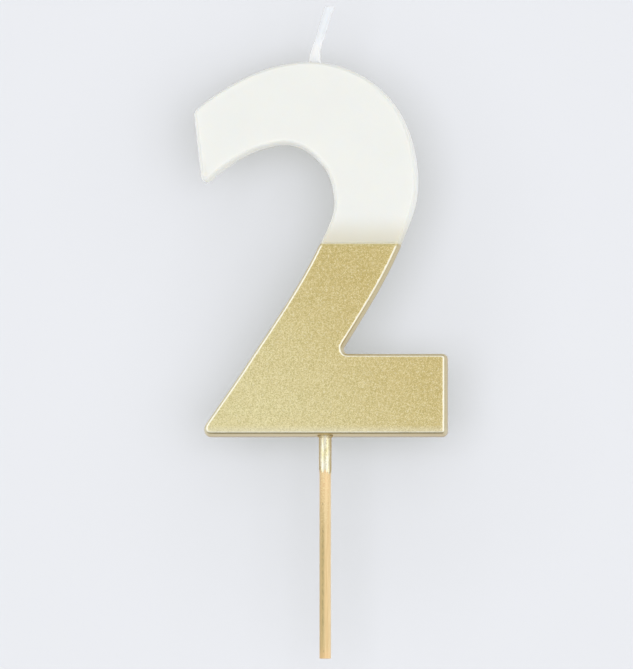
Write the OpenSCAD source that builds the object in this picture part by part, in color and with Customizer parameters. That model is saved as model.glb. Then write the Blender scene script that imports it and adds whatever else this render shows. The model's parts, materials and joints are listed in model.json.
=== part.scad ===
// Numeral 2 birthday candle: a moulded wax digit whose lower half is dipped in gold
// lacquer, a primed wick of three braided strands in its top, and a bamboo pick below.
// The face looks towards -Y and +Z is up. The origin is the centre of the pick's lower end.

/* [Digit] */
// Height of the digit
digit_h = 80; // [76:1:120]
// Thickness of the digit, from its face to its back
digit_t = 12; // [9:0.5:18]
// How far the sides lean in from the back to the face, as the mould needs
draft = 0.4; // [0.1:0.1:0.4]
// Radius of the edge round the face
face_edge_r = 0.6; // [0.3:0.1:0.6]
// Radius of the edge round the back
back_edge_r = 0.3; // [0.1:0.1:0.5]

/* [Gold] */
// Thickness of the lacquer on the wax
coat_t = 0.12; // [0.06:0.02:0.2]
// Length of the lacquer collar on the pick
collar_len = 8.1; // [4:0.1:10]
// Diameter of the collar just below its flare
collar_d = 2.7; // [2.6:0.1:3]
// Diameter of the collar's flare where it meets the foot
flare_d = 3.4; // [3.2:0.1:4]

/* [Pick] */
// Diameter of the bare pick
pick_d = 2.45; // [2:0.05:2.5]
// Bare length below the collar
pick_bare = 39.3; // [25:0.1:60]
// Length of the pick inside the digit
pick_in = 22; // [12:1:30]
// Diameter of the tapered end inside the digit
pick_tip_d = 2; // [1.5:0.1:2]
// Chamfer round the cut lower end
pick_chamfer = 0.15; // [0.05:0.05:0.3]

/* [Wick] */
// Diameter of the primed wick where it is thinnest
wick_d = 1.64; // [1.6:0.02:1.8]
// Diameter of the wick at its cut tip
wick_tip_d = 1.84; // [1.7:0.02:2]
// Diameter of the wax web round the wick's foot
wick_foot_d = 2.5; // [2.2:0.1:3]
// Length of the wick inside the digit
wick_in = 14; // [8:1:15]
// Diameter of one cotton strand
strand_d = 0.4; // [0.3:0.02:0.4]
// Length of one full turn of the braid
braid_pitch = 4; // [3:0.5:6]

/* [Hidden] */
$fn = 48;

// The digit is one stroke between two rails that run from the hook's end to the foot's
// end. A rail is a chain of nodes [x, z, heading], drawn for a digit 80 high with x
// measured from the pick's axis.
DRAWN_H = 80;
OUTER_NODES = [
    [-28.1, 68.5, 97], [-27, 70.4, 38],                 // upper corner of the hook's end
    [-5, 80, 4], [13.2, 72.8, -47], [19.8, 54.5, -88],  // over the top of the bowl
    [16.2, 41.1, -113], [4, 19.2, -122],                // gold line, down the leg
    [4.8, 17.6, 0], [9, 17.6, 0], [24.9, 17.6, 0],      // inner corner, top of the foot
    [26, 16.5, -90]];                                   // upper corner of the foot's end
INNER_NODES = [
    [-26.6, 55.6, -83], [-24.6, 54.4, 43],              // lower corner of the hook's end
    [-9, 62.2, 5], [-0.6, 57.6, -50], [1.8, 50.5, -85], // underside of the bowl
    [-1.2, 41.1, -115], [-17.1, 14.9, -123],            // gold line, down the leg
    [-25.5, 2.6, -124], [-24.4, 0, 0], [24.9, 0, 0],    // heel, underside of the foot
    [26, 1.1, 90]];                                     // lower corner of the foot's end
RAIL_STEPS = [4, 12, 9, 8, 6, 10, 5, 5, 2, 4];
GOLD_NODE = 5;      // the rails' node on the gold line
OUTER = 1;          // the stroke lies to the right of the outer rail
INNER = -1;         // and to the left of the inner rail

// The wick's centre line, in the same way: vertical in the digit, then leaning right.
WICK_NODES = [[-2.1, 79.4, 90], [-1.6, 83.4, 75], [0.95, 91.7, 73]];
WICK_STEPS = [4, 8];
WICK_SIDES = 12;
STRANDS = 3;
STRAND_SIDES = 6;
STRAND_RINGS = 9;   // rings in one turn of the braid
BRAID_WIDE = 0.42;  // the strands' swing across the wick
BRAID_DEEP = 0.27;  // and through it
STRAND_START = 0.3; // the strands' cut lower ends, above the wick's
STRAND_PROUD = 0.15; // and their upper ends, beyond its tip

size = digit_h / DRAWN_H;
base_z = pick_bare + collar_len;        // lowest edge of the gold coat
wax_z = base_z + coat_t;                // lowest edge of the wax
gold_z = OUTER_NODES[GOLD_NODE].y * size;
skin_gap = 0.01;                        // keeps the coat just clear of the wax
join_gap = 0.02;                        // the same, round the wick
wick_hole_z = wax_z + (WICK_NODES[0].y * size) - wick_in;
wick_seat_z = wax_z + WICK_NODES[0].y * size;
wick_x = WICK_NODES[0].x * size;

// --- curves ---
// A cubic between two nodes. Where the headings turn, it is very close to a round arc.
function reach(turn) = abs(turn) < 1 ? 1 / 3 : 2 / 3 * tan(turn / 4) / sin(turn / 2);
function along(heading) = [cos(heading), sin(heading)];
function handles(a, b) = let (
        p = [a.x, a.y], q = [b.x, b.y],
        arm = norm(q - p) * reach(b.z - a.z))
    [p, p + arm * along(a.z), q - arm * along(b.z), q];
function cubic(h, t) = pow(1 - t, 3) * h[0] + 3 * t * pow(1 - t, 2) * h[1]
    + 3 * t * t * (1 - t) * h[2] + t * t * t * h[3];
function slope(h, t) = pow(1 - t, 2) * (h[1] - h[0]) + 2 * t * (1 - t) * (h[2] - h[1])
    + t * t * (h[3] - h[2]);
function on_curve(a, b, t) = let (
        h = handles(a, b), p = cubic(h, t), d = slope(h, t))
    [p.x, p.y, atan2(d.y, d.x)];
function chain(nodes, steps) = [
    for (i = [0 : len(steps) - 1], k = [0 : steps[i] - 1])
        on_curve(nodes[i], nodes[i + 1], k / steps[i]),
    nodes[len(steps)]];
function scaled(nodes) = [for (n = nodes) [n.x * size, n.y * size, n.z]];
function first_step(node_index) = node_index == 0 ? 0
    : RAIL_STEPS[node_index - 1] + first_step(node_index - 1);

outer_rail = chain(scaled(OUTER_NODES), RAIL_STEPS);
inner_rail = chain(scaled(INNER_NODES), RAIL_STEPS);
last_section = len(outer_rail) - 1;
gold_section = first_step(GOLD_NODE);

// --- the stroke's cross-section ---
// Each layer is [distance in from the rail, y], from the back face round to the front.
function layers(grow) = concat(
    [for (a = [90, 45, 0]) [
        back_edge_r - (back_edge_r + grow) * cos(a),
        digit_t / 2 - back_edge_r + (back_edge_r + grow) * sin(a)]],
    [for (a = [0, 30, 60, 90]) [
        draft + face_edge_r - (face_edge_r + grow) * cos(a),
        -digit_t / 2 + face_edge_r - (face_edge_r + grow) * sin(a)]]);
function place(sample, side, layer) = [
    sample.x + side * layer.x * sin(sample.z), layer.y,
    sample.y - side * layer.x * cos(sample.z)];
// A point slid along its rail to the height of the gold line.
function levelled(sample, p) = p + [cos(sample.z), 0, sin(sample.z)]
    * (gold_z - p.z) / sin(sample.z);
// A section goes round the stroke: along the outer rail's side and back along the inner's.
function section(i, grow) = let (rim = layers(grow)) concat(
    [for (l = rim) place(outer_rail[i], OUTER, l)],
    [for (k = [len(rim) - 1 : -1 : 0]) place(inner_rail[i], INNER, rim[k])]);
function gold_loop(grow) = let (
        loop = section(gold_section, grow), half = len(loop) / 2)
    [for (k = [0 : len(loop) - 1])
        levelled(k < half ? outer_rail[gold_section] : inner_rail[gold_section], loop[k])];

// --- faces of a tube made of equal loops, loop after loop ---
function tube_faces(loops, n, first = 0, flip = false) = [
    for (i = [0 : loops - 2], k = [0 : n - 1])
        let (a = first + i * n + k, b = first + i * n + (k + 1) % n)
        each flip ? [[a, b, a + n], [b, b + n, a + n]] : [[a, a + n, b], [b, a + n, b + n]]];
// The wall that closes a section, from its outer half straight across to its inner half.
function wall_faces(n, first = 0, flip = false) = [
    for (k = [0 : n / 2 - 2])
        let (a = first + k, b = a + 1, d = first + n - 1 - k, c = d - 1)
        each flip ? [[a, c, b], [a, d, c]] : [[a, b, c], [a, c, d]]];

module digit_solid() {
    loops = [for (i = [0 : last_section]) section(i, 0)];
    n = len(loops[0]);
    translate([0, 0, wax_z]) polyhedron(
        [for (l = loops) each l],
        concat(wall_faces(n), tube_faces(len(loops), n),
            wall_faces(n, first = n * last_section, flip = true)));
}

// The skin's outer and inner surfaces, joined by a rim along the gold line.
module coat_solid() {
    function skin(grow) = [gold_loop(grow),
        for (i = [gold_section + 1 : last_section]) section(i, grow)];
    outside = skin(coat_t);
    inside = skin(skin_gap);
    n = len(outside[0]);
    loops = len(outside);
    middle = n * loops;
    rim = [for (k = [0 : n - 1]) let (j = (k + 1) % n)
        each [[k, j, middle + k], [j, middle + j, middle + k]]];
    translate([0, 0, wax_z]) polyhedron(
        [for (l = concat(outside, inside)) each l],
        concat(rim, tube_faces(loops, n), wall_faces(n, first = middle - n, flip = true),
            tube_faces(loops, n, first = middle, flip = true),
            wall_faces(n, first = 2 * middle - n)));
}

// --- the pick ---
pick_r = pick_d / 2;
pick_top_z = base_z + pick_in;
function pick_r_at(z) = pick_r - (pick_r - pick_tip_d / 2) * (z - pick_bare) / (pick_top_z - pick_bare);

module pick_solid() {
    rotate_extrude() polygon([
        [0, 0], [pick_r - pick_chamfer, 0], [pick_r, pick_chamfer],
        [pick_r, pick_bare], [pick_tip_d / 2, pick_top_z], [0, pick_top_z]]);
}

// --- the wick ---
wick_line = chain(scaled(WICK_NODES), WICK_STEPS);
function gap_between(a, b) = norm([b.x - a.x, b.y - a.y]);
function length_of(line, i = 1) = i == len(line) ? 0
    : gap_between(line[i - 1], line[i]) + length_of(line, i + 1);

// A ring of points round a place on the centre line.
function ring(sample, r, sides, across = 0, through = 0) = [
    for (k = [0 : sides - 1]) let (
        a = 360 * k / sides, u = across + r * cos(a), v = through + r * sin(a))
    [sample.x + u * sin(sample.z), v, sample.y - u * cos(sample.z)]];

module tube(loops) {
    n = len(loops[0]);
    end = n * (len(loops) - 1);
    polyhedron([for (l = loops) each l], concat(
        tube_faces(len(loops), n),
        [for (k = [1 : n - 2]) [0, k, k + 1]],
        [for (k = [1 : n - 2]) [end, end + k + 1, end + k]]));
}

// The place on the wick's centre line at a distance up from its lower end.
function wick_at(s) = s <= wick_in ? [wick_x, WICK_NODES[0].y * size - wick_in + s, 90]
    : wick_above(s - wick_in, 1);
function wick_above(s, i) = let (
        a = wick_line[i - 1], b = wick_line[i], step = gap_between(a, b))
    s > step && i < len(wick_line) - 1 ? wick_above(s - step, i + 1)
    : a + (b - a) * s / step;

module strand_solid(number) {
    length = wick_in + length_of(wick_line) + STRAND_PROUD;
    rings = round((length - STRAND_START) / braid_pitch * STRAND_RINGS);
    phase = 360 / STRANDS * (number - 1);
    translate([0, 0, wax_z]) tube([
        for (i = [0 : rings]) let (
            s = STRAND_START + (length - STRAND_START) * i / rings,
            turn = 360 * s / braid_pitch + phase)
        ring(wick_at(s), strand_d / 2, STRAND_SIDES,
            BRAID_WIDE * sin(turn), BRAID_DEEP * sin(2 * turn))]);
}

module sheath_solid() {
    above = len(wick_line) - 1;
    foot = WICK_STEPS[0];
    radii = [for (i = [0 : above]) i <= foot
        ? wick_foot_d / 2 + (wick_d - wick_foot_d) / 2 * i / foot
        : wick_d / 2 + (wick_tip_d - wick_d) / 2 * (i - foot) / (above - foot)];
    translate([0, 0, wax_z]) tube(concat(
        [ring(wick_at(0), wick_d / 2 - join_gap, WICK_SIDES),
         ring(wick_at(wick_in), wick_d / 2 - join_gap, WICK_SIDES)],
        [for (i = [0 : above]) ring(wick_line[i], radii[i], WICK_SIDES)]));
}

// --- sub-parts ---
module wax_body() {
    color("#f1f1ed") difference() {
        digit_solid();
        pick_solid();
        translate([wick_x, 0, wick_hole_z]) cylinder(h = 2 * wick_in, d = wick_d);
        translate([wick_x, 0, wick_seat_z]) cylinder(h = wick_in, d = wick_foot_d + 2 * join_gap);
    }
}

module gold_coat() {
    color("#d5cb98") difference() {
        coat_solid();
        pick_solid();
    }
}

module gold_collar() {
    // the foot's underside rises towards the face, so the flare stops at its lowest point
    flare_y = flare_d / 2;
    foot_rise = draft * (digit_t / 2 - back_edge_r - flare_y) / (digit_t - back_edge_r - face_edge_r);
    top_z = base_z + foot_rise;
    flare_h = (flare_d - collar_d) / 2;
    lip = 0.03;             // thickness of the lacquer at the collar's lower edge
    color("#e9dba0") rotate_extrude() polygon([
        [pick_r_at(pick_bare), pick_bare],
        [pick_r_at(pick_bare) + lip, pick_bare],
        [collar_d / 2, base_z - collar_len / 2],
        [collar_d / 2, top_z - flare_h],
        for (a = [15 : 15 : 90]) [
            flare_d / 2 - flare_h * cos(a), top_z - flare_h + flare_h * sin(a)],
        [pick_r_at(top_z), top_z]]);
}

module pick() {
    color("#ecca92") pick_solid();
}

module wick_wax() {
    color("#f6f8fa") difference() {
        sheath_solid();
        for (number = [1 : STRANDS]) strand_solid(number);
    }
}

module wick_strand_1() { color("#fbfbf8") strand_solid(1); }
module wick_strand_2() { color("#fbfbf8") strand_solid(2); }
module wick_strand_3() { color("#fbfbf8") strand_solid(3); }

wax_body();
gold_coat();
gold_collar();
pick();
wick_wax();
wick_strand_1();
wick_strand_2();
wick_strand_3();
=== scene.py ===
"""The looks of the numeral candle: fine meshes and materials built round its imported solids."""
import json
import math

import bmesh
import bpy
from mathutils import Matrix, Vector, noise

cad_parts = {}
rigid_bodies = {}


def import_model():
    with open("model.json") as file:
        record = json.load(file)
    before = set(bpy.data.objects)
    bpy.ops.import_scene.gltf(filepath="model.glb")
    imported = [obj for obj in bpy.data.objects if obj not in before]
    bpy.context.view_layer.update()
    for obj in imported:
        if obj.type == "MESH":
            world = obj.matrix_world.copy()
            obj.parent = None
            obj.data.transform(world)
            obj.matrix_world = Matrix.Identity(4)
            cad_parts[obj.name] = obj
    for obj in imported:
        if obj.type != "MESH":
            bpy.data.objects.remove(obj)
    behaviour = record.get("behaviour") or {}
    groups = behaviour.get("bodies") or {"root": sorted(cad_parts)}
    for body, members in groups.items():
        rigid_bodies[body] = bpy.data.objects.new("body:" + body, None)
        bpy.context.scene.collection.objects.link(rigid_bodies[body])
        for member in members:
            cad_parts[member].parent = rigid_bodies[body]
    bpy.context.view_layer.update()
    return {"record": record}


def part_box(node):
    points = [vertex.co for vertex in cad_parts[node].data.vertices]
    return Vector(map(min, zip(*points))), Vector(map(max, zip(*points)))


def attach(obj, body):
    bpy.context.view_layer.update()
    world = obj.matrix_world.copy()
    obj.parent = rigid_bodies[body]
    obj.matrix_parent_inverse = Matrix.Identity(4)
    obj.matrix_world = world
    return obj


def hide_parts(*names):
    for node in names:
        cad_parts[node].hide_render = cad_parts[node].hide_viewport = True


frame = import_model()

# --- places and sizes from the CAD, in metres ---
WAX_LOW, WAX_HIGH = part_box("wax_body")
COAT_LOW, COAT_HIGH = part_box("gold_coat")
COLLAR_LOW, COLLAR_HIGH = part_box("gold_collar")
PICK_LOW, PICK_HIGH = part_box("pick")
WICK_LOW, WICK_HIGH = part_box("wick_wax")
PICK_R = frame["record"]["mounts"][0]["dims"]["r_mm"]
DRAWN_W = 54.1                                  # width that the outline below is drawn at
MM = (WAX_HIGH.x - WAX_LOW.x) / DRAWN_W
HALF_T = (WAX_HIGH.y - WAX_LOW.y) / 2 / MM
BASE_Z = WAX_LOW.z / MM
COAT_T = (WAX_LOW.z - COAT_LOW.z) / MM
GOLD_Z = (COAT_HIGH.z - WAX_LOW.z) / MM

# --- the digit's outline, in millimetres: (x, z above the wax's lowest edge, heading) ---
OUTER_NODES = [
    (-28.1, 68.5, 97), (-27, 70.4, 38), (-5, 80, 4), (13.2, 72.8, -47), (19.8, 54.5, -88),
    (16.2, 41.1, -113), (4, 19.2, -122), (4.8, 17.6, 0), (9, 17.6, 0), (24.9, 17.6, 0),
    (26, 16.5, -90)]
INNER_NODES = [
    (-26.6, 55.6, -83), (-24.6, 54.4, 43), (-9, 62.2, 5), (-0.6, 57.6, -50), (1.8, 50.5, -85),
    (-1.2, 41.1, -115), (-17.1, 14.9, -123), (-25.5, 2.6, -124), (-24.4, 0, 0), (24.9, 0, 0),
    (26, 1.1, 90)]
RAIL_STEPS = [8, 30, 24, 22, 16, 30, 12, 8, 26, 8]
GOLD_NODE = 5
OUTER, INNER = 1, -1
WICK_NODES = [(-2.1, 79.4, 90), (-1.6, 83.4, 75), (0.95, 91.7, 73)]
WICK_STEPS = [24, 46]

DRAFT = 0.4             # how far the sides lean in from back to face
FACE_EDGE_R = 0.6
BACK_EDGE_R = 0.3
CLEAR = 0.02            # every surface keeps this far inside the CAD solid's
WAVE = 0.05             # depth of the slow unevenness of cast wax
WAVE_LENGTH = 7
BACK_WAVE = 0.13        # the poured back is less even than the moulded face
BACK_WAVE_LENGTH = 11


# --- curves ---
def along(heading):
    return Vector((math.cos(math.radians(heading)), math.sin(math.radians(heading))))


def reach(turn):
    half = math.radians(turn) / 2
    return 1 / 3 if abs(turn) < 1 else 2 / 3 * math.tan(half / 2) / math.sin(half)


def cubic_samples(a, b, steps):
    """(x, z, heading) at even steps of the cubic from node a up to node b."""
    p, q = Vector(a[:2]), Vector(b[:2])
    arm = (q - p).length * reach(b[2] - a[2])
    h1, h2 = p + arm * along(a[2]), q - arm * along(b[2])
    for k in range(steps):
        t = k / steps
        u = 1 - t
        at = u**3 * p + 3 * t * u * u * h1 + 3 * t * t * u * h2 + t**3 * q
        slope = u * u * (h1 - p) + 2 * t * u * (h2 - h1) + t * t * (q - h2)
        yield at.x, at.y, math.degrees(math.atan2(slope.y, slope.x))


def chain(nodes, steps):
    samples = []
    for a, b, count in zip(nodes, nodes[1:], steps):
        samples.extend(cubic_samples(a, b, count))
    return samples + [nodes[-1]]


def smooth(t):
    """0 to 1 with flat ends."""
    t = min(max(t, 0.0), 1.0)
    return t * t * (3 - 2 * t)


def uneven(point, size, seed=0):
    """Smooth noise from -1 to 1, with features of the given size."""
    return noise.noise(Vector(point) / size + Vector((seed * 17.3, seed * 5.1, seed * 9.7)))


# --- pieces ---
def in_frame(point):
    """Metres in the row frame, from millimetres above the wax's lowest edge."""
    return (point[0] * MM, point[1] * MM, (point[2] + BASE_Z) * MM)


def new_solid(name, points, faces):
    """An object with a closed mesh, whose faces are all turned outwards."""
    mesh = bpy.data.meshes.new(name)
    mesh.from_pydata([in_frame(p) for p in points], [], faces)
    mesh.validate()
    shell = bmesh.new()
    shell.from_mesh(mesh)
    bmesh.ops.recalc_face_normals(shell, faces=shell.faces)
    shell.to_mesh(mesh)
    shell.free()
    solid = bpy.data.objects.new(name, mesh)
    bpy.context.scene.collection.objects.link(solid)
    return solid


def new_piece(name, points, faces, material, slot, *nodes):
    piece = new_solid(name, points, faces)
    piece.data.materials.append(material)
    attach(piece, "root")
    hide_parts(*nodes)
    return piece


def smooth_shaded(piece, sharp_from=50):
    piece.data.shade_smooth()
    piece.data.set_sharp_from_angle(angle=math.radians(sharp_from))


def grid_faces(rows, columns, first=0, closed=True):
    """Quads between rows of points. A closed row joins its last point to its first."""
    faces = []
    for i in range(rows - 1):
        for k in range(columns if closed else columns - 1):
            a, b = first + i * columns + k, first + i * columns + (k + 1) % columns
            faces.append((a, a + columns, b + columns, b))
    return faces


def cut(piece, cutter):
    """Takes the cutter's space out of the piece, then deletes the cutter."""
    hole = piece.modifiers.new("hole", "BOOLEAN")
    hole.operation = "DIFFERENCE"
    hole.solver = "EXACT"
    hole.object = cutter
    depsgraph = bpy.context.evaluated_depsgraph_get()
    mesh = bpy.data.meshes.new_from_object(piece.evaluated_get(depsgraph), depsgraph=depsgraph)
    piece.modifiers.clear()
    piece.data = mesh
    bpy.data.objects.remove(cutter)


def rod(x, low, high, radius, sides=48):
    """A cutter for a round upright hole, in the outline's millimetres."""
    points = []
    for z in (low, high):
        for k in range(sides):
            angle = math.tau * k / sides
            points.append((x + radius * math.cos(angle), radius * math.sin(angle), z))
    ends = [range(sides), range(sides, 2 * sides)]
    return new_solid("rod", points, grid_faces(2, sides) + ends)


# --- the digit's stroke ---
OUTER_RAIL = chain(OUTER_NODES, RAIL_STEPS)
INNER_RAIL = chain(INNER_NODES, RAIL_STEPS)
LAST = len(OUTER_RAIL) - 1
GOLD_ROW = sum(RAIL_STEPS[:GOLD_NODE])
SIDE_ROWS = 5
EDGE_ROW = 0.25         # a row of points this close to the face's edge keeps the face flat


def layers(grow):
    """From the back face round to the front: (distance in, y, the normal's outward and y shares)."""
    back, front = BACK_EDGE_R + grow, FACE_EDGE_R + grow
    made = []
    for a in (90, 68, 45, 22, 0):
        c, s = math.cos(math.radians(a)), math.sin(math.radians(a))
        made.append((BACK_EDGE_R - back * c, HALF_T - BACK_EDGE_R + back * s, c, s))
    turned = []
    for a in range(0, 91, 15):
        c, s = math.cos(math.radians(a)), math.sin(math.radians(a))
        turned.append((DRAFT + FACE_EDGE_R - front * c, FACE_EDGE_R - HALF_T - front * s, c, -s))
    low, high = made[-1], turned[0]
    for k in range(1, SIDE_ROWS):
        t = k / SIDE_ROWS
        made.append((low[0] + (high[0] - low[0]) * t, low[1] + (high[1] - low[1]) * t, 1, 0))
    return made + turned


def rim_point(sample, side, layer):
    """(place, normal) of a point on the edge of the stroke."""
    x, z, heading = sample
    inset, y, out, toward = layer
    inward = side * Vector((math.sin(math.radians(heading)), 0, -math.cos(math.radians(heading))))
    return Vector((x, y, z)) + inset * inward, Vector((0, toward, 0)) - out * inward


def between(a, b, columns):
    """Points from a to b without them, with one close to each end."""
    edge = min(EDGE_ROW / (b[0] - a[0]).length, 0.2)
    shares = [edge + (1 - 2 * edge) * k / (columns - 1) for k in range(columns)]
    return [(a[0].lerp(b[0], t), a[1].lerp(b[1], t).normalized()) for t in shares]


def section(row, grow, columns):
    """A loop round the stroke: the outer rail's edge, the front, the inner rail's edge, the back."""
    rounds = layers(grow)
    outer = [rim_point(OUTER_RAIL[row], OUTER, layer) for layer in rounds]
    inner = [rim_point(INNER_RAIL[row], INNER, layer) for layer in rounds]
    front = between(outer[-1], inner[-1], columns)
    return outer + front + inner[::-1] + between(inner[0], outer[0], columns)


def gold_edge(x, y):
    """How far the gold line wanders from its height."""
    return 0.1 * uneven((x, y, 0), 2.6, 3) + 0.07 * uneven((x, y, 0), 0.6, 4) - 0.1


def edge_section(below, grow, columns):
    """The loop at a distance below the gold line, which follows the line's wandering."""
    loop = section(GOLD_ROW, grow, columns)
    half = len(loop) // 2
    level = []
    for k, (point, normal) in enumerate(loop):
        rail = OUTER_RAIL if k < half else INNER_RAIL
        slide = along(rail[GOLD_ROW][2])
        height = GOLD_Z - below + gold_edge(point.x, point.y) * math.exp(-below)
        point = point + Vector((slide.x, 0, slide.y)) * (height - point.z) / slide.y
        level.append((point, normal))
    return level


def end_wall(loop, columns):
    """New rows across the stroke's end, between its back edge and its front edge."""
    count = (len(loop) - 2 * columns) // 2
    outer, inner = loop[:count], loop[count + columns:2 * count + columns][::-1]
    return [between(outer[k], inner[k], columns) for k in range(1, count - 1)]


def wall_faces(first_loop, first_wall, n, columns):
    """Quads of an end wall, whose border is a loop and whose inner rows follow each other."""
    count = (n - 2 * columns) // 2
    rows = []
    for layer in range(count):
        left = first_loop + layer
        right = first_loop + 2 * count + columns - 1 - layer
        if layer == 0:
            middle = [first_loop + n - 1 - c for c in range(columns)]
        elif layer == count - 1:
            middle = [first_loop + count + c for c in range(columns)]
        else:
            start = first_wall + (layer - 1) * columns
            middle = [start + c for c in range(columns)]
        rows.append([left] + middle + [right])
    faces = []
    for low, high in zip(rows, rows[1:]):
        for c in range(columns + 1):
            faces.append((low[c], low[c + 1], high[c + 1], high[c]))
    return faces


def settled(point, normal):
    """The point moved inwards, as far as the wax is uneven there."""
    depth = CLEAR + WAVE * (0.5 + 0.5 * uneven(point, WAVE_LENGTH))
    depth += BACK_WAVE * max(normal.y, 0.0) * (0.5 + 0.5 * uneven(point, BACK_WAVE_LENGTH, 13))
    return point - normal * depth


def make_wax(material):
    """The cast digit, with the pick's bore and the wick's hole."""
    columns = 20
    loops = [section(row, 0, columns) for row in range(LAST + 1)]
    n = len(loops[0])
    points = [p for loop in loops for p in loop]
    faces = grid_faces(len(loops), n)
    for row in (0, LAST):
        start = len(points)
        points += [p for wall_row in end_wall(loops[row], columns) for p in wall_row]
        faces += wall_faces(row * n, start, n, columns)
    piece = new_piece("wax_digit", [settled(*p) for p in points], faces, material, "wax", "wax_body")
    well_below, well_above = -BASE_Z / 2, GOLD_Z * 3
    cut(piece, rod(WICK_NODES[0][0], WICK_LOW.z / MM - BASE_Z, well_above, WICK_R + CLEAR))
    cut(piece, rod(0, well_below, PICK_HIGH.z / MM - BASE_Z, PICK_R + CLEAR))
    smooth_shaded(piece)


def skin(grows, columns, first):
    """Points and faces of one side of the lacquer, from the gold line round the foot's end."""
    loops = [edge_section(below, grow, columns) for below, grow in grows]
    loops += [section(row, grows[-1][1], columns) for row in range(GOLD_ROW + 1, LAST + 1)]
    n = len(loops[0])
    points = [p for loop in loops for p in loop]
    faces = grid_faces(len(loops), n, first)
    start = first + len(points)
    points += [p for wall_row in end_wall(loops[-1], columns) for p in wall_row]
    faces += wall_faces(first + n * (len(loops) - 1), start, n, columns)
    return points, faces, n


def make_coat(material):
    """The lacquer's two sides, each a list of (distance below the gold line, thickness) there."""
    columns = 56
    gap = 0.01
    outside = [(0, 0.04), (0.12, 0.1), (0.4, COAT_T)]
    inside = [(0, gap), (0.4, gap)]
    points, faces, n = skin(outside, columns, 0)
    under = len(points)
    more, more_faces, _ = skin(inside, columns, under)
    faces += more_faces
    faces += [(k, (k + 1) % n, under + (k + 1) % n, under + k) for k in range(n)]
    placed = [settled(*p) for p in points + more]
    piece = new_piece("gold_lacquer_coat", placed, faces, material, "gold_lacquer", "gold_coat")
    well_below, well_above = -BASE_Z / 2, 5
    cut(piece, rod(0, well_below, well_above, PICK_R + CLEAR))
    smooth_shaded(piece)


# --- round pieces ---
def turned(profile, sides, shape):
    """Rings up the profile of (radius, height), each point moved by shape(angle, radius, height)."""
    points = []
    for radius, height in profile:
        for k in range(sides):
            angle = math.tau * k / sides
            r, z = shape(angle, radius, height)
            points.append((r * math.cos(angle), r * math.sin(angle), z))
    return points


def cap(points, faces, ring, centre, sides):
    """Closes the ring of points that starts at an index, with a fan round a centre point."""
    middle = len(points)
    points.append(centre)
    faces += [(ring + k, ring + (k + 1) % sides, middle) for k in range(sides)]


FRONT = -math.pi / 2
GROOVE_AT = math.radians(-22)           # left of the front, seen from the face
GROOVE_W = math.radians(11)
GROOVE_DEEP = 0.09
GROOVE_Z = (3, 33)                      # its lower and upper ends above the cut end


def off_groove(angle):
    """Angle from the groove's middle, from -pi to pi."""
    return (angle - FRONT - GROOVE_AT + math.pi) % math.tau - math.pi


def pick_shape(angle, radius, height):
    """Split bamboo: faint ridges along the fibres, flats, and a groove left by a vascular bundle."""
    share = radius / PICK_R
    ridge = uneven((math.cos(angle) * 2.2, math.sin(angle) * 2.2, height * 0.02), 0.5, 1)
    flat = uneven((math.cos(angle), math.sin(angle), height * 0.01), 0.9, 2)
    low, high = GROOVE_Z
    fade = smooth((height - low) / 3) * smooth((high - height) / 6)
    groove = GROOVE_DEEP * fade * math.exp(-(off_groove(angle) / GROOVE_W) ** 2)
    rough = 0.008 * (ridge - 1) + 0.01 * (flat - 1) - groove
    return radius + share * rough, height


def make_pick(material):
    """The stick from its rough cut end up to the collar, then tapered inside the digit."""
    sides = 96
    top = PICK_HIGH.z / MM
    bare = COLLAR_LOW.z / MM
    buried_r = 1.0
    chamfer = 0.13
    cut_rings, bare_rings, buried_rings = 6, 60, 8
    profile = [(PICK_R * k / cut_rings, 0) for k in range(1, cut_rings)]
    profile += [(PICK_R - chamfer, 0), (PICK_R, chamfer)]
    profile += [(PICK_R, chamfer + (bare - chamfer) * k / bare_rings) for k in range(1, bare_rings + 1)]
    for k in range(1, buried_rings + 1):
        t = k / buried_rings
        profile.append((PICK_R + (buried_r - PICK_R) * t, bare + (top - bare) * t))

    def shape(angle, radius, height):
        r, z = pick_shape(angle, radius, height)
        if height == 0:
            place = (radius * math.cos(angle), radius * math.sin(angle), 0)
            z = 0.02 + 0.03 * (1 + uneven(place, 0.25, 5))
        return min(r, radius), z

    points = turned(profile, sides, shape)
    faces = grid_faces(len(profile), sides)
    cap(points, faces, 0, (0, 0, 0.04), sides)
    cap(points, faces, (len(profile) - 1) * sides, (0, 0, top), sides)
    points = [(x, y, z - BASE_Z) for x, y, z in points]
    piece = new_piece("bamboo_pick", points, faces, material, "bamboo", "pick")
    smooth_shaded(piece, 40)


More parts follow.
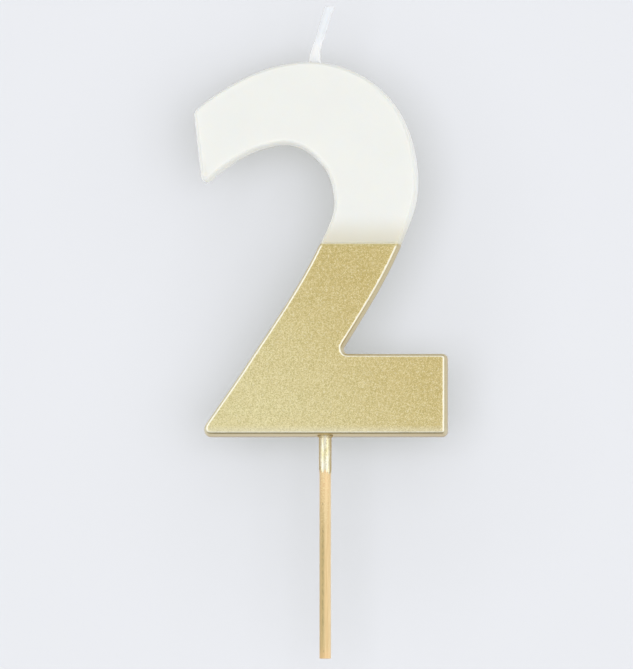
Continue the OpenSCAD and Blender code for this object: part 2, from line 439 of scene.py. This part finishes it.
def make_collar(material):
    """Lacquer that has run down the pick, with a ragged lower edge and a flare under the foot."""
    sides = 96
    low, high = COLLAR_LOW.z / MM, COLLAR_HIGH.z / MM
    flare_r, body_r = COLLAR_HIGH.x / MM, 1.34
    flare_h = 0.75
    longest_run = 2.2
    steps = 26
    outside = []
    for k in range(steps + 1):
        z = low + (high - low) * k / steps
        thick = smooth((z - low) / 1.2)
        flare = max(0.0, 1 - (high - z) / flare_h)
        r = PICK_R + 0.015 + (body_r - PICK_R) * thick
        outside.append((r + (flare_r - body_r - 0.02) * (1 - math.sqrt(1 - flare * flare)), z))
    buried = 0.08
    inner_r = PICK_R - 0.03
    outside.append((outside[-1][0], high + buried))
    profile = outside + [(inner_r, high + buried), (inner_r, low)]

    def shape(angle, radius, height):
        place = (math.cos(angle) * 1.3, math.sin(angle) * 1.3, height)
        ragged = 0.55 + 1.2 * uneven(place[:2] + (0,), 0.6, 6) + 0.8 * uneven(place[:2] + (0,), 0.22, 7)
        lift = min(max(0.0, ragged), longest_run) * smooth(1 - (height - low) / 4.5)
        run = 0.03 * uneven((place[0], place[1], height * 0.3), 0.8, 8)
        shell = smooth((height - low) / 1.5) if radius > PICK_R else 0
        return radius + (run - 0.03) * shell * smooth((high - height) / 0.6), height + lift

    points = turned(profile, sides, shape)
    faces = grid_faces(len(profile), sides)
    last = (len(profile) - 1) * sides
    faces += [(last + k, last + (k + 1) % sides, (k + 1) % sides, k) for k in range(sides)]
    points = [(x, y, z - BASE_Z) for x, y, z in points]
    piece = new_piece("gold_lacquer_collar", points, faces, material, "gold_lacquer", "gold_collar")
    smooth_shaded(piece)


# --- the wick ---
WICK_R = 0.82
TIP_R = 0.97
FOOT_R = 1.25
WICK_LINE = chain(WICK_NODES, WICK_STEPS)
WICK_IN = WICK_NODES[0][1] - (WICK_LOW.z / MM - BASE_Z)
BRAID_PITCH = 4.0
BRAID_WIDE, BRAID_DEEP = 0.42, 0.27
STRAND_R = 0.17
YARN_RADII = (0.055, 0.055, 0.052, 0.048, 0.042, 0.03)     # thinner towards its cut end


def line_lengths(line):
    """Distance along the line at each of its samples."""
    total = [0.0]
    for a, b in zip(line, line[1:]):
        total.append(total[-1] + math.hypot(b[0] - a[0], b[1] - a[1]))
    return total


WICK_AT = line_lengths(WICK_LINE)
WICK_LENGTH = WICK_IN + WICK_AT[-1]


def wick_sample(s):
    """(x, z, heading) on the wick's centre line at distance s from its buried end."""
    x, z, heading = WICK_LINE[0]
    if s <= WICK_IN:
        return x, z - WICK_IN + s, heading
    s -= WICK_IN
    i = next((k for k in range(1, len(WICK_AT)) if WICK_AT[k] >= s), len(WICK_AT) - 1)
    t = (s - WICK_AT[i - 1]) / (WICK_AT[i] - WICK_AT[i - 1])
    return tuple(p + (q - p) * t for p, q in zip(WICK_LINE[i - 1], WICK_LINE[i]))


def off_wick(s, across, through):
    """The place at an offset from the wick's centre line. Towards the tip the offset turns level."""
    level = across / math.tan(math.radians(WICK_NODES[-1][2]))
    s += level * smooth((s - WICK_LENGTH + 1.6) / 1.6)
    x, z, heading = wick_sample(s)
    h = math.radians(heading)
    return Vector((x + across * math.sin(h), through, z - across * math.cos(h)))


def braid(s, phase):
    turn = math.tau * s / BRAID_PITCH + phase
    return BRAID_WIDE * math.sin(turn), BRAID_DEEP * math.sin(2 * turn)


def wick_radius(s, angle):
    """The primed wick swells over each crossing of the braid, and has a web of wax at its foot."""
    above = s - WICK_IN
    if above < 0:
        return WICK_R
    share = above / WICK_AT[-1]
    plain = WICK_R + (TIP_R - WICK_R) * share
    leftward = 0.5 - 0.5 * math.cos(angle)
    web = (FOOT_R - WICK_R) * (1 - smooth(above / (3.2 + 2.6 * leftward))) * (0.8 + 0.45 * leftward)
    turn = math.tau * s / BRAID_PITCH
    lumps = 0.05 * math.sin(angle + turn) * math.sin(angle - turn) * smooth(above / 2)
    drips = 0.05 * uneven((math.cos(angle), math.sin(angle), above * 0.5), 0.7, 9)
    return plain + web + lumps + (drips - 0.03) * smooth(above / 0.8)


def make_wick_wax(material):
    """The primed wick. Its last rings, each (share of the radius, drop), make the rough cut tip."""
    sides, rows = 40, 110
    start, stop = WICK_IN - 1.5, WICK_LENGTH - 0.12
    stops = [0.0] + [start + (stop - start) * k / rows for k in range(rows + 1)]
    points = []
    for s in stops:
        for k in range(sides):
            angle = math.tau * k / sides
            r = wick_radius(s, angle)
            points.append(off_wick(s, r * math.cos(angle), r * math.sin(angle)))
    tip = len(points) - sides
    faces = grid_faces(len(stops), sides)
    for share, drop in ((0.93, -0.05), (0.75, -0.03), (0.5, 0.05), (0.25, 0.02)):
        base = len(points)
        for k in range(sides):
            angle = math.tau * k / sides
            r = share * wick_radius(stop, angle)
            pit = 0.06 * uneven((r * math.cos(angle), r * math.sin(angle), 0), 0.3, 10)
            s = stop - drop + pit - 0.06 + 0.06 * share
            points.append(off_wick(s, r * math.cos(angle), r * math.sin(angle)))
        faces += [(tip + k, base + k, base + (k + 1) % sides, tip + (k + 1) % sides)
                  for k in range(sides)]
        tip = base
    cap(points, faces, tip, off_wick(stop - 0.03, 0, 0), sides)
    cap(points, faces, 0, off_wick(0, 0, 0), sides)
    piece = new_piece("primed_wick", points, faces, material, "wick_priming", "wick_wax")
    smooth_shaded(piece, 60)


def add_tube(points, faces, centres, radii, sides):
    """A closed tube through centres on the wick, each (s, across, through)."""
    first = len(points)
    for (s, across, through), r in zip(centres, radii):
        for k in range(sides):
            angle = math.tau * k / sides
            points.append(off_wick(s, across + r * math.cos(angle), through + r * math.sin(angle)))
    faces += grid_faces(len(centres), sides, first)
    last = len(points) - sides
    cap(points, faces, first, off_wick(*centres[0]), sides)
    cap(points, faces, last, off_wick(*centres[-1]), sides)


def make_strand(index, material):
    """One cotton strand of the braid, which ends in a tuft of cut yarns: six round a middle one."""
    phase = math.tau * (index - 1) / 3
    points, faces = [], []
    start, rings = 0.3, 130
    stop = WICK_LENGTH - 0.25
    stops = [start + (stop - start) * k / rings for k in range(rings + 1)]
    add_tube(points, faces, [(s, *braid(s, phase)) for s in stops], [STRAND_R] * len(stops), 10)
    across, through = braid(stop, phase)
    yarns = 7
    for yarn in range(yarns):
        spin = math.tau * yarn / (yarns - 1)
        spread = 0.0 if yarn == yarns - 1 else 0.1
        proud = 0.02 + 0.05 * (1 + uneven((index, yarn, 0), 0.7, 11))
        lean = 0.1 * uneven((index, yarn, 0), 0.7, 12)
        centres = []
        for k in range(len(YARN_RADII)):
            t = k / (len(YARN_RADII) - 1)
            fan = spread * (1 + 0.5 * t)
            s = stop - 0.3 + (0.43 + proud) * t
            sideways = fan * math.cos(spin) + lean * t * t
            centres.append((s, across + sideways, through + fan * math.sin(spin)))
        add_tube(points, faces, centres, YARN_RADII, 7)
    name = f"wick_strand_{index}"
    piece = new_piece(f"cotton_strand_{index}", points, faces, material, "cotton", name)
    smooth_shaded(piece, 60)


# --- materials ---
class Finish:
    """A material's node tree, with short ways to add nodes that work in millimetres."""

    def __init__(self, name):
        self.material = bpy.data.materials.new(name)
        self.material.use_nodes = True
        self.tree = self.material.node_tree
        self.shader = self.tree.nodes["Principled BSDF"]
        place = self.add("ShaderNodeTexCoord").outputs["Object"]
        self.place = self.vector("MULTIPLY", place, (1 / MM,) * 3)

    def add(self, kind, inputs=None, **settings):
        node = self.tree.nodes.new(kind)
        for name, value in settings.items():
            setattr(node, name, value)
        for name, value in (inputs or {}).items():
            self.feed(node.inputs[name], value)
        return node

    def feed(self, socket, value):
        if isinstance(value, bpy.types.NodeSocket):
            self.tree.links.new(value, socket)
        else:
            socket.default_value = value

    def vector(self, operation, a, b):
        return self.add("ShaderNodeVectorMath", {0: a, 1: b}, operation=operation).outputs[0]

    def maths(self, operation, a, b=0.0):
        return self.add("ShaderNodeMath", {0: a, 1: b}, operation=operation).outputs[0]

    def axis(self, name):
        return self.add("ShaderNodeSeparateXYZ", {0: self.place}).outputs[name]

    def normal(self):
        """The surface's own direction, before any bump."""
        return self.add("ShaderNodeNewGeometry").outputs["Normal"]

    def ramp(self, value, low, high, start=0.0, end=1.0):
        """start to end as the value goes from low to high, smoothly."""
        inputs = {"Value": value, "From Min": low, "From Max": high, "To Min": start, "To Max": end}
        return self.add("ShaderNodeMapRange", inputs, interpolation_type="SMOOTHSTEP").outputs[0]

    def grain(self, size, detail=2.0, stretch=(1, 1, 1), seed=0.0):
        """Noise from 0 to 1 whose features have this size."""
        place = self.vector("MULTIPLY", self.place, stretch)
        place = self.vector("ADD", place, (seed, seed, seed))
        inputs = {"Vector": place, "Scale": 1 / size, "Detail": detail}
        return self.add("ShaderNodeTexNoise", inputs).outputs["Fac"]

    def flakes(self, size):
        """A random colour for each small cell."""
        inputs = {"Vector": self.place, "Scale": 1 / size}
        return self.add("ShaderNodeTexVoronoi", inputs).outputs["Color"]

    def blend(self, share, a, b, kind="MIX"):
        inputs = {0: share, 6: a, 7: b}
        node = self.add("ShaderNodeMix", inputs, data_type="RGBA", blend_type=kind)
        return node.outputs[2]

    def tilted(self, flakes, amount):
        """The surface's normal, tilted by each flake's own amount."""
        centred = self.vector("SUBTRACT", flakes, (0.5, 0.5, 0.5))
        tilt = self.vector("MULTIPLY", centred, (amount,) * 3)
        return self.vector("NORMALIZE", self.vector("ADD", self.normal(), tilt), (0, 0, 0))

    def bump(self, height, distance_mm, strength=1.0, normal=None):
        inputs = {"Height": height, "Distance": distance_mm * MM, "Strength": strength}
        if normal is not None:
            inputs["Normal"] = normal
        return self.add("ShaderNodeBump", inputs).outputs[0]

    def set(self, **values):
        """Feeds the shader's sockets, whose names are written with _ for a space."""
        for name, value in values.items():
            self.feed(self.shader.inputs[name.replace("_", " ")], value)
        return self.material


def rgba(red, green, blue):
    return (red, green, blue, 1.0)


GOLD_LINE_Z = GOLD_Z + BASE_Z           # the gold line's height in the row frame, in millimetres


def wax_finish():
    """Satin wax with painted shade round its edges, darker and warmer towards the gold line, with
    painted light and dust just above the gold line.
    """
    f = Finish("wax")
    height = f.maths("SUBTRACT", f.axis("Z"), GOLD_LINE_Z)
    cloud = f.grain(9.0, 3.0)
    white = f.blend(cloud, rgba(0.82, 0.82, 0.785), rgba(0.85, 0.85, 0.81))
    facing = f.maths("ABSOLUTE", f.add("ShaderNodeSeparateXYZ", {0: f.normal()}).outputs["Y"])
    # painted shade: the rounded edges, between the face and the sides, are blended towards grey
    painted_edge_shade = f.ramp(facing, 0.3, 0.6, 0.0, 0.75)
    painted_edge_shade = f.maths("MULTIPLY", painted_edge_shade, f.ramp(facing, 0.93, 0.999, 1.0, 0.0))
    white = f.blend(painted_edge_shade, white, rgba(0.76, 0.76, 0.72))
    # darker and warmer towards the gold line
    near_gold = f.ramp(f.maths("ADD", height, f.maths("MULTIPLY", cloud, 1.2)), 0.0, 7.0, 0.64, 0.0)
    near_gold_tint_and_painted_light = f.blend(near_gold, white, rgba(0.66, 0.61, 0.46))
    # painted light: the wax just above the gold line is lightened, against the shade the coat casts into
    # it
    near_gold_tint_and_painted_light = f.blend(f.ramp(height, 0.1, 0.5, 0.5, 0.0), near_gold_tint_and_painted_light, rgba(0.86, 0.80, 0.60))
    dust = f.ramp(f.grain(0.16, 1.0), 0.56, 0.66)
    dust = f.maths("MULTIPLY", dust, f.ramp(height, -0.2, 0.25, 0.6, 0.0))
    colour = f.blend(dust, near_gold_tint_and_painted_light, rgba(0.58, 0.50, 0.22))
    skin_grain = f.grain(0.5, 4.0)
    pores = f.ramp(f.grain(0.22, 1.0, seed=7.0), 0.30, 0.42)
    fine = f.bump(pores, 0.012, 0.5)
    normal = f.bump(f.grain(2.4, 2.0, seed=3.0), 0.05, 0.4, f.bump(skin_grain, 0.02, 0.4, fine))
    return f.set(
        Base_Color=colour, Roughness=f.ramp(skin_grain, 0.2, 0.8, 0.4, 0.56), Normal=normal,
        Subsurface_Weight=1.0, Subsurface_Radius=(1.0, 0.92, 0.8), Subsurface_Scale=1.1 * MM,
        IOR=1.44, Specular_IOR_Level=0.3)


def lacquer(name, roughness, tilt):
    """Metal flakes in clear lacquer: the finish, its gold and the distance below the gold line."""
    f = Finish(name)
    mixed = f.blend(0.66, f.flakes(0.21), f.flakes(0.12))
    flake = f.add("ShaderNodeSeparateXYZ", {0: mixed}).outputs["X"]
    from_line = f.maths("SUBTRACT", GOLD_LINE_Z, f.axis("Z"))
    toward_heel = f.maths("SUBTRACT", from_line, f.axis("X"))
    depth = f.ramp(f.maths("ADD", toward_heel, f.maths("MULTIPLY", f.grain(12.0, 2.0), 8.0)), 0.0, 60.0)
    gold = f.blend(depth, rgba(0.685, 0.535, 0.203), rgba(0.838, 0.747, 0.395))
    gold = f.blend(f.ramp(flake, 0.2, 0.5, 0.46, 0.0), gold, rgba(0.45, 0.37, 0.11))
    gold = f.blend(f.ramp(flake, 0.58, 0.75, 0.0, 0.46), gold, rgba(1.0, 0.92, 0.62))
    cloud = f.ramp(f.grain(3.5, 3.0, seed=5.0), 0.3, 0.7, 0.0, 0.14)
    gold = f.blend(cloud, gold, rgba(0.82, 0.66, 0.34))
    orange_peel = f.grain(0.8, 2.0, seed=9.0)
    f.set(Metallic=1.0, Normal=f.bump(orange_peel, 0.02, 0.5, f.tilted(mixed, tilt)),
          Roughness=f.ramp(flake, 0.25, 0.75, roughness - 0.06, roughness + 0.08))
    return f, gold, from_line


PALE_GOLD_AND_HIGHLIGHT = (0.99, 0.95, 0.80)          # pale gold where the lacquer is thin and the wax lightens it, and the painted highlight on the digit's edges


def dipped_finish():
    """The lacquer on the digit: painted highlight on its edges, pale where it pooled, painted reflection
    on its underside and lower edge, painted shade on its sides towards the back.
    """
    f, gold, from_line = lacquer("gold_lacquer", 0.34, 0.3)
    faces = f.add("ShaderNodeSeparateXYZ", {0: f.normal()}).outputs
    wobble = f.maths("MULTIPLY", f.maths("SUBTRACT", f.grain(0.5), 0.5), 0.1)
    facing = f.maths("ADD", f.maths("ABSOLUTE", faces["Y"]), wobble)
    # painted highlight: the rounded edges between face and sides turn pale, less on the top and bottom
    # edges
    edge = f.maths("MULTIPLY", f.ramp(facing, 0.4, 0.75), f.ramp(facing, 0.93, 0.998, 0.95, 0.0))
    level = f.maths("ABSOLUTE", faces["Z"])
    edge = f.maths("MULTIPLY", edge, f.ramp(level, 0.3, 0.8, 1.0, 0.22))
    edge = f.maths("MULTIPLY", edge, f.ramp(from_line, 0.3, 0.9))
    foot = GOLD_LINE_Z - COAT_LOW.z / MM
    under = f.ramp(faces["Z"], -0.95, -0.6, 1.0, 0.0)
    pooled = f.ramp(from_line, foot - 2.6, foot - 0.8, 0.0, 0.3)
    pooled = f.maths("MULTIPLY", pooled, f.maths("SUBTRACT", 1.0, under))
    # pale gold for the painted edge highlight and where the lacquer pooled
    gold = f.blend(f.maths("MAXIMUM", edge, pooled), gold, rgba(*PALE_GOLD_AND_HIGHLIGHT))
    gold = f.blend(f.ramp(from_line, 0.3, 1.0, 0.4, 0.0), gold, rgba(0.60, 0.53, 0.27))
    # painted reflection: a dark olive line along the lower rounded edge
    painted_dark_reflection = f.maths("MULTIPLY", f.ramp(facing, 0.1, 0.3), f.ramp(facing, 0.5, 0.75, 0.6, 0.0))
    painted_dark_reflection = f.maths("MULTIPLY", painted_dark_reflection, f.ramp(faces["Z"], -0.8, -0.5, 1.0, 0.0))
    # painted reflection: faces that point down are tinted pinkish tan
    gold = f.blend(f.maths("MULTIPLY", under, 0.4), gold, rgba(0.84, 0.63, 0.34))
    gold = f.blend(painted_dark_reflection, gold, rgba(0.44, 0.35, 0.13))
    lip = f.ramp(f.maths("ADD", from_line, wobble), 0.05, 0.4, 0.9, 0.0)
    gold = f.blend(lip, gold, rgba(0.86, 0.82, 0.66))
    # painted shade: the side walls turn brown in blotches towards the back edge, darker underneath, with
    # less metal there
    side = f.ramp(facing, 0.2, 0.5, 1.0, 0.0)
    wave = f.maths("MULTIPLY", f.maths("SUBTRACT", f.grain(2.6, 2.0, seed=12.0), 0.5), 6.0)
    wave = f.maths("ADD", f.axis("Y"), f.maths("MAXIMUM", wave, f.maths("MULTIPLY", under, 1.2)))
    blotch = f.ramp(f.grain(0.9, 3.0, seed=13.0), 0.3, 0.6, 0.65, 1.0)
    painted_side_shade = f.maths("MULTIPLY", f.maths("MULTIPLY", side, blotch), f.ramp(wave, 2.6, 6.0, 0.0, 0.95))
    gold = f.blend(painted_side_shade, gold, f.blend(under, rgba(0.44, 0.29, 0.13), rgba(0.34, 0.22, 0.10)))
    metal = f.maths("SUBTRACT", 1.0, f.maths("MAXIMUM", f.maths("MULTIPLY", painted_side_shade, 0.8), lip))
    return f.set(Base_Color=gold, Metallic=metal, Coat_Weight=0.15, Coat_Roughness=0.2,
                 Specular_Tint=rgba(1.0, 0.95, 0.85))


def collar_finish():
    """The lacquer that ran down the pick, in pale streaks, with painted shade on its sides and where it
    meets the foot.
    """
    f, gold, _ = lacquer("gold_on_pick", 0.26, 0.2)
    streak = f.grain(0.45, 3.0, (1, 1, 0.14), 8.0)
    gold = f.blend(f.ramp(streak, 0.38, 0.62, 0.2, 0.85), gold, rgba(*PALE_GOLD_AND_HIGHLIGHT))
    faces = f.add("ShaderNodeSeparateXYZ", {0: f.normal()}).outputs
    sideways = f.maths("ABSOLUTE", faces["X"])
    # painted shade: the collar's left and right sides turn darker brown
    gold = f.blend(f.ramp(sideways, 0.6, 0.9, 0.0, 0.6), gold, rgba(0.62, 0.46, 0.22))
    top = COLLAR_HIGH.z / MM
    # painted shade: dark brown at the top, where the collar meets the foot, most at its sides
    flare = f.ramp(f.axis("Z"), top - 0.9, top - 0.2, 0.0, 0.8)
    flare = f.maths("MULTIPLY", flare, f.ramp(sideways, 0.2, 0.6, 0.35, 1.0))
    gold = f.blend(flare, gold, rgba(0.52, 0.37, 0.15))
    return f.set(Base_Color=gold, Coat_Weight=0.1, Coat_Roughness=0.2,
                 Specular_Tint=rgba(0.72, 0.53, 0.28))


def bamboo_finish():
    """Split bamboo: fibres, a dark dappled groove at its front left, and gold dust under the collar."""
    f = Finish("bamboo")
    across, height = f.axis("X"), f.axis("Z")
    front = f.ramp(f.axis("Y"), -0.2, 0.5, 1.0, 0.0)
    long_grain = (1, 1, 0.03)
    fibre = f.grain(0.16, 3.0, long_grain)
    strand = f.grain(0.5, 2.0, long_grain, 4.0)
    wood = f.blend(f.ramp(strand, 0.35, 0.65), rgba(0.88, 0.625, 0.325), rgba(0.985, 0.755, 0.43))
    wood = f.blend(f.ramp(fibre, 0.35, 0.62, 0.35, 0.0), wood, rgba(0.58, 0.40, 0.17))
    shaded = f.maths("MULTIPLY", front, f.ramp(across, -0.6, 0.4, 0.8, 0.18))
    shaded = f.maths("MULTIPLY", shaded, f.ramp(height, 22.0, 36.0, 1.0, 0.7))
    wood = f.blend(shaded, wood, rgba(0.50, 0.37, 0.15))
    stripe = f.maths("MULTIPLY", f.ramp(across, -0.85, -0.6), f.ramp(across, -0.45, -0.1, 1.0, 0.0))
    fade = f.maths("MULTIPLY", f.ramp(height, 2.0, 9.0), f.ramp(height, 25.0, 34.0, 1.0, 0.0))
    dapple = f.ramp(f.grain(0.3, 3.0, (1, 1, 0.3), 2.0), 0.4, 0.6, 0.3, 1.0)
    groove = f.maths("MULTIPLY", f.maths("MULTIPLY", stripe, fade), f.maths("MULTIPLY", dapple, front))
    wood = f.blend(f.maths("MULTIPLY", groove, 0.6), wood, rgba(0.31, 0.26, 0.11))
    spot = f.ramp(f.grain(0.45, 0.0, (1, 1, 0.3), 11.0), 0.72, 0.82, 0.0, 0.7)
    spot = f.maths("MULTIPLY", f.maths("MULTIPLY", spot, stripe), front)
    wood = f.blend(spot, wood, rgba(0.27, 0.20, 0.09))
    collar_z = COLLAR_LOW.z / MM
    by_cut_end = f.ramp(height, 0.0, 3.0, 0.3, 0.0)
    by_collar = f.ramp(height, collar_z - 9.0, collar_z, 0.0, 0.34)
    wood = f.blend(f.maths("MAXIMUM", by_cut_end, by_collar), wood, rgba(0.93, 0.56, 0.28))
    dust_limit = f.ramp(height, collar_z - 20.0, collar_z + 2.0, 0.7, 0.48)
    dust_grain = f.grain(0.17, 1.0, seed=6.0)
    dust = f.ramp(f.maths("SUBTRACT", dust_grain, dust_limit), 0.0, 0.04, 0.0, 0.8)
    wood = f.blend(dust, wood, rgba(0.93, 0.78, 0.46))
    normal = f.bump(fibre, 0.03, 0.6)
    return f.set(Base_Color=wood, Metallic=dust, Roughness=f.ramp(fibre, 0.3, 0.7, 0.5, 0.65),
                 Normal=normal, Specular_IOR_Level=0.4)


def priming_finish():
    """Thin wax over cotton, thicker and whiter at the wick's foot: the whiteness is partly the thicker
    wax, partly painted light.
    """
    f = Finish("wick_priming")
    cloud = f.grain(0.9, 3.0)
    foot = BASE_Z + WICK_NODES[0][1]
    # whiter towards the foot: thicker wax there, and painted light in place of light thrown back by the
    # digit
    thick = f.ramp(f.axis("Z"), foot + 0.5, foot + 7.5, 1.0, 0.0)
    colour = f.blend(cloud, rgba(0.795, 0.818, 0.84), rgba(0.832, 0.85, 0.872))
    colour = f.blend(thick, colour, rgba(0.99, 0.985, 0.985))
    normal = f.bump(f.grain(0.25, 3.0, seed=2.0), 0.025, 0.4)
    return f.set(
        Base_Color=colour, Roughness=f.ramp(cloud, 0.3, 0.7, 0.48, 0.6), Normal=normal,
        Subsurface_Weight=0.8, Subsurface_Radius=(1.0, 0.95, 0.9), Subsurface_Scale=0.8 * MM,
        IOR=1.44, Specular_IOR_Level=0.25)


def cotton_finish():
    """Bleached yarn with fine fibres along it."""
    f = Finish("cotton")
    yarn = f.grain(0.08, 2.0, (1, 1, 0.3))
    colour = f.blend(yarn, rgba(0.84, 0.84, 0.81), rgba(0.95, 0.95, 0.93))
    return f.set(Base_Color=colour, Roughness=0.9, Sheen_Weight=0.3,
                 Normal=f.bump(yarn, 0.03, 0.8))


# --- stage ---
VIEW_AZIMUTH, VIEW_ELEVATION = 1.0, -1.6
VIEW_CENTRE = Vector((-1.86, 0, 69.2)) * MM
VIEW_HEIGHT = 142.7 * MM
VIEW_DISTANCE = 300 * MM
WALL_Y = 300 * MM
FLOOR_Z = -60 * MM
COVE_R = 45 * MM
STAGE_HALF = 6.0                                # metres to each side
STUDIO_LEVEL = 0.95                             # what the studio alone gives on white paper
PAPER_LEVEL = (0.838, 0.847, 0.882)             # how bright the backdrop is to be

# Lamps whose shadows make the halo: degrees right and up from the line of sight, width, strength
SHADOW_LAMPS = (
    (0.0, 2.3, 13.3, 2.4), (1.5, 0.0, 3.2, 1.15), (-0.9, 0.0, 2.4, 1.8), (0.0, 1.7, 3.4, 0.6),
    (0.6, 0.0, 1.8, 0.9))
LAMP_COLOUR = (0.74, 0.74, 1.0)
FLOOR_LAMP = (120, 40, 0.4)                     # degrees up, past the zenith, then width, strength
BOXES = ((-54, 4, 0.8), (36, 4, 0.8))           # each soft box: degrees right, degrees up, watts
BOX_WIDTH, BOX_HEIGHT = 0.3, 1.7
FILLS = ((-125, 20, 1.7), (125, 20, 1.9), (180, 10, 1.0), (0, -75, 3.1))      # as for a soft box
FILL_WIDTH = 0.8
LIGHT_DISTANCE = 0.9                            # metres from the view's centre


def from_direction(azimuth, elevation):
    """The unit vector that points back along the line of sight."""
    a, e = math.radians(azimuth), math.radians(elevation)
    return Vector((math.sin(a) * math.cos(e), -math.cos(a) * math.cos(e), math.sin(e)))


def make_camera():
    data = bpy.data.cameras.new("camera")
    data.type = "ORTHO"
    data.ortho_scale = VIEW_HEIGHT
    data.clip_start, data.clip_end = 0.001, 20.0
    camera = bpy.data.objects.new("camera", data)
    bpy.context.scene.collection.objects.link(camera)
    back = from_direction(VIEW_AZIMUTH, VIEW_ELEVATION)
    camera.location = VIEW_CENTRE + back * VIEW_DISTANCE
    camera.rotation_euler = (-back).to_track_quat("-Z", "Y").to_euler()
    bpy.context.scene.camera = camera


def paper_finish():
    """Pale paper, less white where the lamps strike it squarely, so that floor and wall look alike."""
    f = Finish("backdrop")
    facing = f.maths("ABSOLUTE", f.add("ShaderNodeSeparateXYZ", {0: f.normal()}).outputs["Y"])
    strength = sum(lamp[3] for lamp in SHADOW_LAMPS) / math.pi
    lamps = f.vector("MULTIPLY", facing, tuple(strength * share for share in LAMP_COLOUR))
    light = f.vector("ADD", lamps, (STUDIO_LEVEL,) * 3)
    cloud = f.ramp(f.grain(60.0, 2.0), 0.0, 1.0, 0.996, 1.0)
    wanted = f.vector("MULTIPLY", cloud, PAPER_LEVEL)
    return f.set(Base_Color=f.vector("DIVIDE", wanted, light), Roughness=0.95, Specular_IOR_Level=0.1)


def make_backdrop(material):
    """One sheet of paper: floor, cove and wall."""
    curve = [(-STAGE_HALF, FLOOR_Z)]
    for a in range(0, 91, 6):
        back, up = math.sin(math.radians(a)), 1 - math.cos(math.radians(a))
        curve.append((WALL_Y - COVE_R + COVE_R * back, FLOOR_Z + COVE_R * up))
    curve.append((WALL_Y, STAGE_HALF))
    points = [(x, y, z) for x in (-STAGE_HALF, STAGE_HALF) for y, z in curve]
    mesh = bpy.data.meshes.new("backdrop")
    mesh.from_pydata(points, [], grid_faces(2, len(curve), closed=False))
    mesh.shade_smooth()
    mesh.materials.append(material)
    sheet = bpy.data.objects.new("backdrop", mesh)
    bpy.context.scene.collection.objects.link(sheet)
    sheet.visible_shadow = False
    sheet.visible_glossy = False
    sheet.visible_diffuse = False
    return sheet


def add_light(name, kind, strength, colour, direction, **settings):
    data = bpy.data.lights.new(name, kind)
    data.energy = strength
    data.color = colour
    for key, value in settings.items():
        setattr(data, key, value)
    light = bpy.data.objects.new(name, data)
    bpy.context.scene.collection.objects.link(light)
    light.visible_camera = False
    light.location = VIEW_CENTRE + direction * LIGHT_DISTANCE
    light.rotation_euler = (-direction).to_track_quat("-Z", "Y").to_euler()
    return light


def make_lights(backdrop):
    """Tall soft boxes at both sides, lamps for the backdrop alone, and fill for the candle alone."""
    white = (1, 1, 1)
    paper = bpy.data.collections.new("backdrop_only")
    paper.objects.link(backdrop)
    for out, up, width, strength in SHADOW_LAMPS:
        toward = from_direction(VIEW_AZIMUTH + out, VIEW_ELEVATION + up)
        lamp = add_light("shadow_lamp", "SUN", strength, LAMP_COLOUR, toward, angle=math.radians(width))
        lamp.light_linking.receiver_collection = paper
    up, width, strength = FLOOR_LAMP
    toward = from_direction(0, up)
    lamp = add_light("floor_lamp", "SUN", strength, white, toward, angle=math.radians(width))
    lamp.light_linking.receiver_collection = paper
    for out, up, strength in BOXES:
        add_light("soft_box", "AREA", strength, white, from_direction(out, up),
                  shape="RECTANGLE", size=BOX_WIDTH, size_y=BOX_HEIGHT)
    candle = bpy.data.collections.new("candle_only")
    for piece in bpy.context.scene.objects:
        if piece.type == "MESH" and piece != backdrop:
            candle.objects.link(piece)
    for out, up, strength in FILLS:
        fill = add_light("fill", "AREA", strength, white, from_direction(out, up), size=FILL_WIDTH)
        fill.visible_glossy = False
        fill.light_linking.receiver_collection = candle


def make_world():
    """A pale studio: brightest in a ring round the camera, dimmer behind, above and below the candle."""
    world = bpy.data.worlds.new("studio")
    world.use_nodes = True
    bpy.context.scene.world = world
    tree = world.node_tree
    background = tree.nodes["Background"]
    look = tree.nodes.new("ShaderNodeTexCoord").outputs["Generated"]
    axes = tree.nodes.new("ShaderNodeSeparateXYZ")
    tree.links.new(look, axes.inputs[0])

    def add(a, b):
        node = tree.nodes.new("ShaderNodeMath")
        tree.links.new(a, node.inputs[0])
        tree.links.new(b, node.inputs[1])
        return node.outputs[0]

    def ramp(axis, low, high, start, end):
        node = tree.nodes.new("ShaderNodeMapRange")
        node.interpolation_type = "SMOOTHSTEP"
        tree.links.new(axes.outputs[axis], node.inputs["Value"])
        for name, number in (("From Min", low), ("From Max", high), ("To Min", start), ("To Max", end)):
            node.inputs[name].default_value = number
        return node.outputs[0]

    ring = ramp("Y", -0.97, -0.8, 0.8, 1.05)
    behind = ramp("Y", -0.5, 0.0, 0.0, -0.31)
    below = ramp("Z", -0.95, -0.5, -0.5, 0.0)
    above = ramp("Z", 0.4, 0.9, 0.0, -0.25)
    tree.links.new(add(add(ring, behind), add(below, above)), background.inputs["Strength"])
    background.inputs["Color"].default_value = rgba(0.97, 0.985, 1.0)


# --- the whole ---
make_camera()
make_wax(wax_finish())
make_coat(dipped_finish())
make_collar(collar_finish())
make_pick(bamboo_finish())
make_wick_wax(priming_finish())
cotton = cotton_finish()
for number in (1, 2, 3):
    make_strand(number, cotton)
backdrop = make_backdrop(paper_finish())
make_lights(backdrop)
make_world()
bpy.context.scene.view_settings.view_transform = "Standard"
